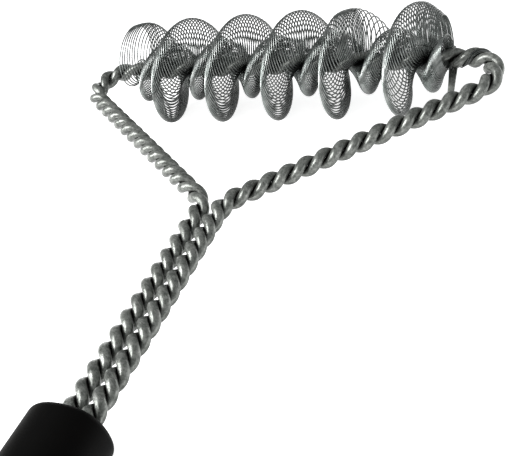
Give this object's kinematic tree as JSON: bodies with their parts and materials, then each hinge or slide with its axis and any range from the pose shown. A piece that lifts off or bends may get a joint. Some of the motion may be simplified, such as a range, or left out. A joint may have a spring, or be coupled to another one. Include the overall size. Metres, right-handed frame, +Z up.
{
  "type": "grill cleaning brush",
  "caption": "Bristle-free grill brush: twisted wire frame with a triangular head, helical scrubbing springs across it, and a moulded handle with a hanging slot.",
  "frame": {"origin": "bottom centre of the bounding box, on the surface that the brush lies on", "axes": "+Y from the handle's tail to the head, +X across the head, +Z up, square to the surface"},
  "size_m": [0.1706, 0.4062, 0.0408],
  "materials": {
    "frame_steel": "dull drawn and galvanised wire with faint drawing lines",
    "spring_steel": "fine bright drawn wire",
    "handle_plastic": "satin black moulded plastic with a fine grain"
  },
  "bodies": {
    "root": {"frame_wire_a": "frame_steel", "frame_wire_b": "frame_steel", "spring_large": "spring_steel", "spring_small": "spring_steel", "tie_strand_1": "spring_steel", "tie_strand_2": "spring_steel", "tie_strand_3": "spring_steel", "tie_strand_4": "spring_steel", "handle": "handle_plastic"}
  },
  "joints": []
}
